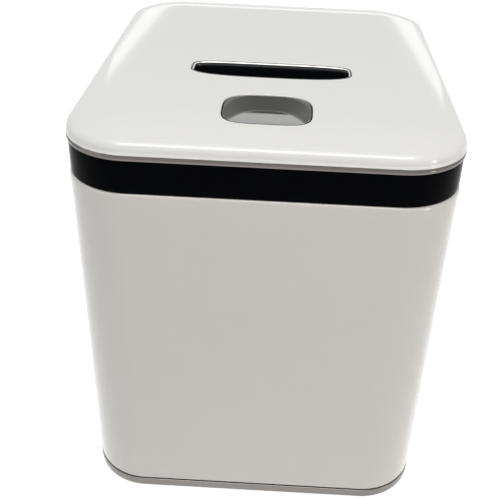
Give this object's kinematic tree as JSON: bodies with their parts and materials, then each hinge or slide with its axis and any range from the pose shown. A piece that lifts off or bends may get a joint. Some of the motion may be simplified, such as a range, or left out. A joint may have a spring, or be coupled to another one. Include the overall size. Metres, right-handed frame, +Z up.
{
  "type": "electric food waste composter",
  "caption": "Upright rounded kitchen composter: hinged white lid with push latch and finger slot, lift-out grinding bucket, heated well, geared drive, rear filter drawer.",
  "frame": {"origin": "middle of the footprint on the table", "axes": "+Z up, -Y towards the user at the front, +X to the right"},
  "size_m": [0.27, 0.33, 0.321],
  "materials": {
    "rubber": "matte black rubber",
    "dark_plastic": "fine textured dark grey moulding",
    "satin_ring": "satin silver",
    "white_gloss": "glossy warm white",
    "black_gloss": "piano black",
    "deck_plastic": "satin black",
    "steel": "plated steel",
    "black_plastic": "matte black",
    "brass": "turned",
    "board_green": "circuit board",
    "aluminium": "drawn aluminium",
    "heater_mica": "mica heater plate",
    "insulation": "glass fibre felt",
    "cast_metal": "die cast",
    "gear_steel": "oiled",
    "gear_nylon": "natural nylon",
    "bucket_coating": "dark non-stick coating on cast metal",
    "carbon": "activated carbon block",
    "white_felt": "filter felt",
    "chrome": "bright plated",
    "white_satin": "satin white",
    "grey_gloss": "glossy grey"
  },
  "bodies": {
    "case": {"rubber_feet": "rubber", "base_pan": "dark_plastic", "base_ring": "satin_ring", "housing_shell": "white_gloss", "band_collar": "black_gloss", "top_deck": "deck_plastic", "latch_keeper": "steel", "hinge_pins": "steel", "rear_panel": "dark_plastic", "power_inlet": "black_plastic", "inlet_pins": "brass", "switch_frame": "black_plastic", "control_board": "board_green", "board_parts": "dark_plastic", "heated_well": "aluminium", "heater_plate": "heater_mica", "well_jacket": "insulation", "gearbox_case": "cast_metal", "gearbox_cover": "cast_metal", "gearbox_posts": "steel", "motor_can": "steel", "idler_axle": "steel", "shaft_bush": "brass", "fan_frame": "black_plastic", "air_duct": "dark_plastic", "drawer_bay": "dark_plastic", "deck_screws": "steel"},
    "output": {"output_gear": "gear_steel"},
    "idler": {"idler_gear": "gear_nylon"},
    "motor": {"motor_pinion": "brass"},
    "fan": {"fan_impeller": "black_plastic"},
    "bucket": {"bucket": "bucket_coating", "bucket_bush": "brass", "wall_blades_set": "cast_metal"},
    "rotor": {"grinding_rotor": "cast_metal", "rotor_socket": "black_plastic"},
    "bail": {"bucket_handle": "steel"},
    "drawer": {"filter_drawer": "dark_plastic", "carbon_block": "carbon", "filter_screen": "white_felt"},
    "rocker": {"switch_rocker": "black_plastic"},
    "lid": {"lid_shell": "white_gloss", "lid_ring": "chrome", "lid_liner": "deck_plastic", "lid_gasket": "rubber", "grip_insert": "black_gloss", "button_guide": "white_satin", "latch_pin": "steel", "button_spring": "steel", "hinge_arms": "steel", "hinge_screws": "steel"},
    "button": {"lid_button": "grey_gloss"},
    "latch": {"latch_lever": "gear_nylon"}
  },
  "joints": [
    {"name": "lid_hinge", "type": "hinge", "parent": "case", "child": "lid", "pos_m": [0, 0.156, 0.2888], "axis": [-1, 0, 0], "range_deg": [0, 95]},
    {"name": "lid_button", "type": "slide", "parent": "lid", "child": "button", "axis": [0, 0, -1], "range_m": [0, 0.004], "stiffness_N_per_m": 500, "springref_m": -0.002, "deforming": ["button_spring"]},
    {"name": "latch_turn", "type": "hinge", "parent": "lid", "child": "latch", "pos_m": [0, -0.1295, 0.3052], "axis": [-1, 0, 0], "range_deg": [0, 12.1]},
    {"name": "bucket_lift", "type": "slide", "parent": "case", "child": "bucket", "axis": [0, 0, 1], "range_m": [0, 0.04]},
    {"name": "bail_swing", "type": "hinge", "parent": "bucket", "child": "bail", "pos_m": [0, -0.03, 0.2323], "axis": [-1, 0, 0], "range_deg": [0, 35]},
    {"name": "output_spin", "type": "hinge", "parent": "case", "child": "output", "pos_m": [0, -0.03, 0.07], "axis": [0, 0, 1], "continuous": true},
    {"name": "idler_spin", "type": "hinge", "parent": "case", "child": "idler", "pos_m": [0.054, -0.03, 0.06], "axis": [0, 0, 1], "continuous": true},
    {"name": "motor_spin", "type": "hinge", "parent": "case", "child": "motor", "pos_m": [0.072, 0.00118, 0.05], "axis": [0, 0, 1], "continuous": true},
    {"name": "rotor_spin", "type": "hinge", "parent": "bucket", "child": "rotor", "pos_m": [0, -0.03, 0.1203], "axis": [0, 0, 1], "continuous": true},
    {"name": "fan_spin", "type": "hinge", "parent": "case", "child": "fan", "pos_m": [0, 0.1202, 0.236], "axis": [0, 0, 1], "continuous": true},
    {"name": "drawer_slide", "type": "slide", "parent": "case", "child": "drawer", "axis": [0, 1, 0], "range_m": [0, 0.07]},
    {"name": "rocker_tilt", "type": "hinge", "parent": "case", "child": "rocker", "pos_m": [-0.055, 0.1571, 0.05], "axis": [-1, 0, 0], "range_deg": [0, 16]}
  ],
  "couplings": [
    {"joint": "latch_turn", "follows": "lid_button", "rad_per_m": 52.36},
    {"joint": "idler_spin", "follows": "output_spin", "ratio": -3.5},
    {"joint": "motor_spin", "follows": "output_spin", "ratio": 10.5},
    {"joint": "rotor_spin", "follows": "output_spin", "ratio": 1}
  ]
}
